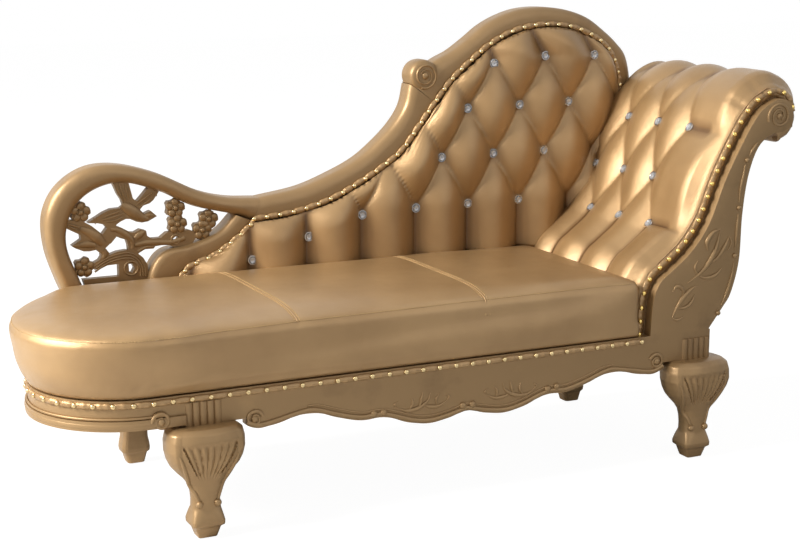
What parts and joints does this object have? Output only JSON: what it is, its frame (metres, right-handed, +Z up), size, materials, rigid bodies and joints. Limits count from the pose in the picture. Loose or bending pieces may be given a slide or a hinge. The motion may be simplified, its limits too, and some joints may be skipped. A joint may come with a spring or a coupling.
{
  "type": "fainting couch",
  "caption": "Carved and gilded fainting couch with a buttoned back that sweeps down to a pierced loop, a rolled head arm and a long padded seat.",
  "frame": {"origin": "floor level, under the middle of the couch's length and depth", "axes": "+X from the rounded foot end to the rolled head arm, +Y from the front to the back rail, +Z up"},
  "size_m": [1.7988, 0.6, 1.0082],
  "materials": {
    "gilt_wood": "gold paint over carved wood, satin",
    "leatherette": "champagne gold, soft sheen",
    "nail_metal": "polished domes",
    "button_metal": "polished rims",
    "crystal": "clear, faceted",
    "bare_wood": "unpainted frame timber",
    "steel": "plain",
    "padding": "foam and wadding",
    "lining": "thin dark cloth"
  },
  "bodies": {
    "root": {"front_apron": "gilt_wood", "foot_apron": "gilt_wood", "rear_rail": "gilt_wood", "inner_rear_rail": "bare_wood", "head_rail": "gilt_wood", "leg_block_foot": "gilt_wood", "leg_block_head": "gilt_wood", "leg_front_foot": "gilt_wood", "leg_front_head": "gilt_wood", "leg_rear_foot": "gilt_wood", "leg_rear_head": "gilt_wood", "foot_glides": "steel", "crest_foot_loop": "gilt_wood", "crest_sweep": "gilt_wood", "crest_hump": "gilt_wood", "head_post": "gilt_wood", "crest_volute": "gilt_wood", "arc_rail": "gilt_wood", "fretwork_panel": "gilt_wood", "arm_facing_front": "gilt_wood", "arm_frame_front": "bare_wood", "arm_frame_rear": "bare_wood", "arm_stretchers": "bare_wood", "arm_roll_core": "bare_wood", "arm_inner_panel": "bare_wood", "arm_foam": "padding", "arm_outside_cover": "leatherette", "back_cover": "leatherette", "back_foam": "padding", "back_panel": "bare_wood", "back_outside_cover": "leatherette", "back_uprights": "bare_wood", "arm_cover": "leatherette", "seat_cover": "leatherette", "seat_foam": "padding", "seat_stretchers": "bare_wood", "seat_springs": "steel", "spring_clips": "steel", "spring_pad": "padding", "dust_cover": "lining", "crest_band": "leatherette", "arc_band": "leatherette", "back_nails": "nail_metal", "arm_band": "leatherette", "arm_nails": "nail_metal", "seat_band": "leatherette", "seat_nails": "nail_metal", "back_button_cups": "button_metal", "back_button_crystals": "crystal", "arm_button_cups": "button_metal", "arm_button_crystals": "crystal"}
  },
  "joints": []
}
